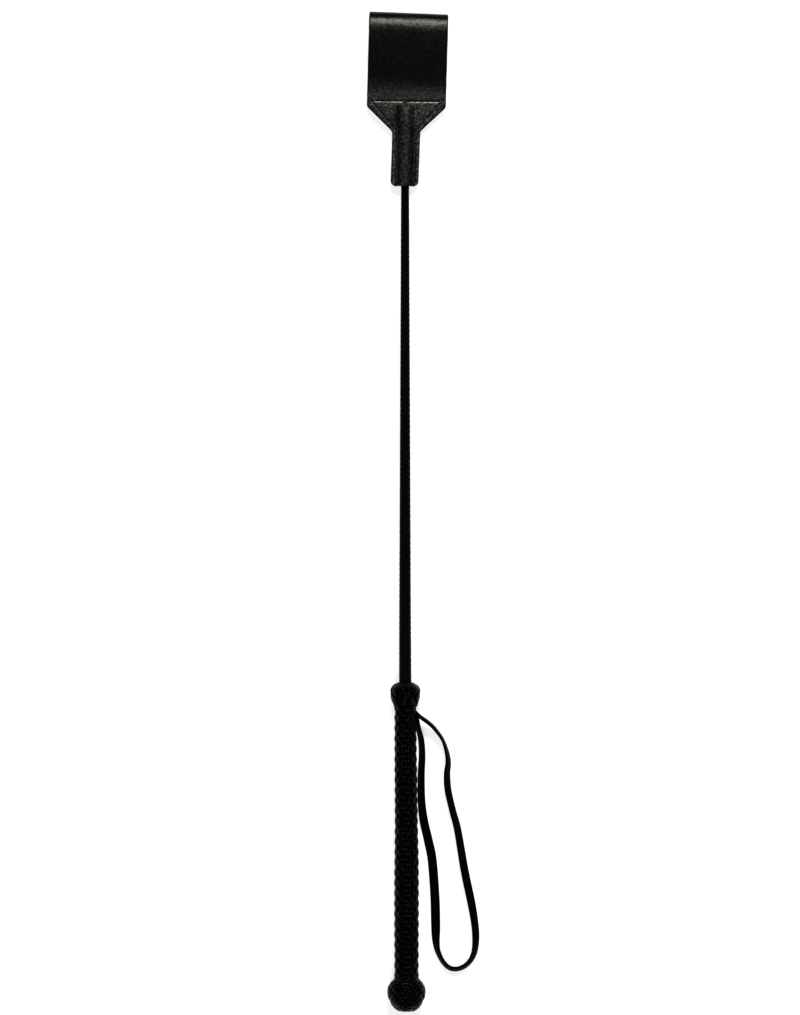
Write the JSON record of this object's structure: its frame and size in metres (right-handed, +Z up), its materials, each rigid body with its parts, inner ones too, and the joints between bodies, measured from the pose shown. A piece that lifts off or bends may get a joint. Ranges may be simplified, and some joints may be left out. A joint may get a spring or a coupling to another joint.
{
  "type": "riding crop",
  "caption": "Leather riding crop: plaited handle between woven knots, wrist strap, tapered covered shaft and a folded leather keeper flap at the tip.",
  "frame": {"origin": "on the surface the crop lies on, under the middle of the crop without its wrist strap", "axes": "+Y along the crop from the pommel to the keeper, +X towards the side the wrist strap lies on, +Z up from the surface"},
  "size_m": [0.0738, 0.6599, 0.0255],
  "materials": {
    "glass_fibre": "bare pultruded glass-fibre rod, hidden",
    "woven_cover": "tight black braided thread with loose fibres",
    "waxed_thread": "black waxed thread",
    "blackened_wood": "black-stained former",
    "plait_leather": "black strap leather, semi-gloss, cut edges",
    "grain_leather": "black grained leather, semi-gloss",
    "strap_leather": "black lace leather, satin"
  },
  "bodies": {
    "crop": {"core_rod": "glass_fibre", "shaft_cover": "woven_cover", "tip_whipping": "waxed_thread", "handle_core": "blackened_wood", "handle_strand_01": "plait_leather", "handle_strand_02": "plait_leather", "handle_strand_03": "plait_leather", "handle_strand_04": "plait_leather", "handle_strand_05": "plait_leather", "handle_strand_06": "plait_leather", "handle_strand_07": "plait_leather", "handle_strand_08": "plait_leather", "handle_strand_09": "plait_leather", "handle_strand_10": "plait_leather", "handle_strand_11": "plait_leather", "handle_strand_12": "plait_leather", "collar_knot": "plait_leather", "collar_foundation": "blackened_wood", "pommel_knot": "plait_leather", "pommel_ball": "blackened_wood", "socket_front": "grain_leather", "socket_back": "grain_leather", "stitching_front": "waxed_thread", "stitching_back": "waxed_thread"},
    "flap": {"keeper_flap": "grain_leather"},
    "strap_swivel": {"strap_root": "strap_leather"},
    "strap": {"strap_loop": "strap_leather"}
  },
  "joints": [
    {"name": "flap_flex", "type": "hinge", "parent": "crop", "child": "flap", "pos_m": [0.00085, 0.27654, 0.00503], "axis": [0.9996, -0.0279, 0.0004], "range_deg": [-75, 75], "stiffness_Nm_per_rad": 0.15},
    {"name": "strap_swing", "type": "hinge", "parent": "crop", "child": "strap_swivel", "pos_m": [0.0087, -0.13182, 0.01034], "axis": [0, 0, 1], "range_deg": [0, 120]},
    {"name": "strap_lift", "type": "hinge", "parent": "strap_swivel", "child": "strap", "pos_m": [0.0087, -0.13182, 0.01034], "axis": [-0.9851, -0.172, 0], "range_deg": [0, 88]}
  ]
}
